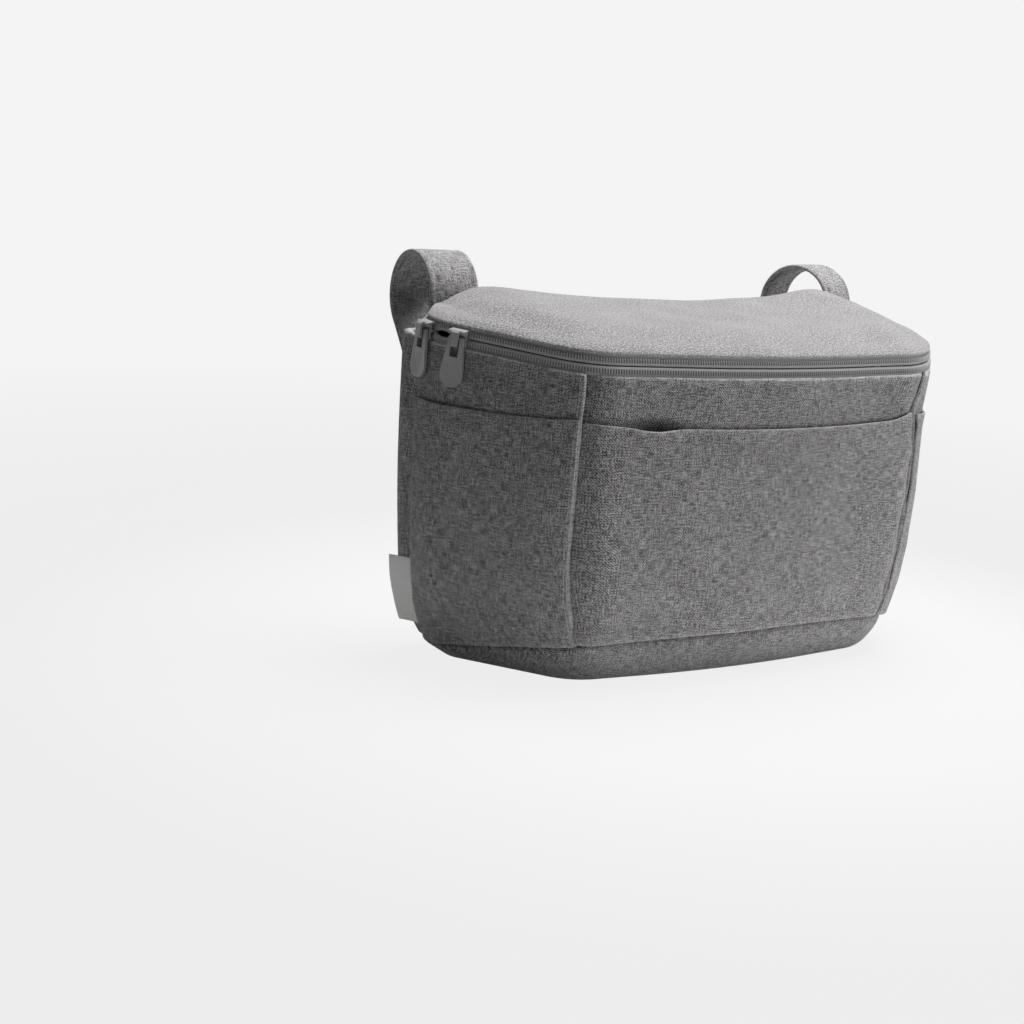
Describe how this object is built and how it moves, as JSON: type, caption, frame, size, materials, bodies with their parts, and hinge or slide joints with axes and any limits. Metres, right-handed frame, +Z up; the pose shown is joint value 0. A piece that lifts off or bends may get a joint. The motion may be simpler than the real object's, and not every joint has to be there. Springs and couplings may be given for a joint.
{
  "type": "stroller organizer",
  "caption": "Zipped grey fabric organizer bag with a domed lid, open patch pockets and two loops that hang it on a stroller's push bar.",
  "frame": {"origin": "on the floor under the middle of the flat bottom panel", "axes": "+X along the long side to the bag's right as its front is looked at, -Y out of the front, +Y out of the back with the bar loops, +Z up"},
  "size_m": [0.3354, 0.1659, 0.2111],
  "materials": {
    "cloth": "grey melange weave",
    "tape": "smooth grey zip tape",
    "teeth": "satin grey coil",
    "metal": "satin grey",
    "label": "white satin ribbon",
    "hook": "black hook-and-loop tape"
  },
  "bodies": {
    "bag": {"back_panel": "cloth", "bottom_panel": "cloth", "front_panel": "cloth", "front_pocket": "cloth", "hook_patch_left": "hook", "hook_patch_right": "hook", "label_tab": "label", "lid": "cloth", "loop_patch_left": "hook", "loop_patch_right": "hook", "side_panel_left": "cloth", "side_panel_right": "cloth", "side_pocket_left": "cloth", "side_pocket_right": "cloth", "slider_rear": "metal", "strap_left": "cloth", "strap_right": "cloth", "zip_end_tab_left": "cloth", "zip_end_tab_right": "cloth", "zip_tape_lower": "tape", "zip_tape_upper": "tape", "zip_teeth_lower": "teeth", "zip_teeth_upper": "teeth"},
    "slider_front": {"slider_front": "metal"},
    "pull_front": {"pull_front": "metal"},
    "pull_rear": {"pull_rear": "metal"}
  },
  "joints": [
    {"name": "slider_travel", "type": "slide", "parent": "bag", "child": "slider_front", "axis": [0.5444, -0.8348, -0.0818], "range_m": [0, 0.04]},
    {"name": "pull_front_swing", "type": "hinge", "parent": "slider_front", "child": "pull_front", "pos_m": [-0.15803, 0.00779, 0.17389], "axis": [-0.5444, 0.8348, 0.0818], "range_deg": [0, 120]},
    {"name": "pull_rear_swing", "type": "hinge", "parent": "bag", "child": "pull_rear", "pos_m": [-0.16591, 0.02972, 0.17592], "axis": [-0.1014, 0.9901, 0.097], "range_deg": [0, 120]}
  ]
}
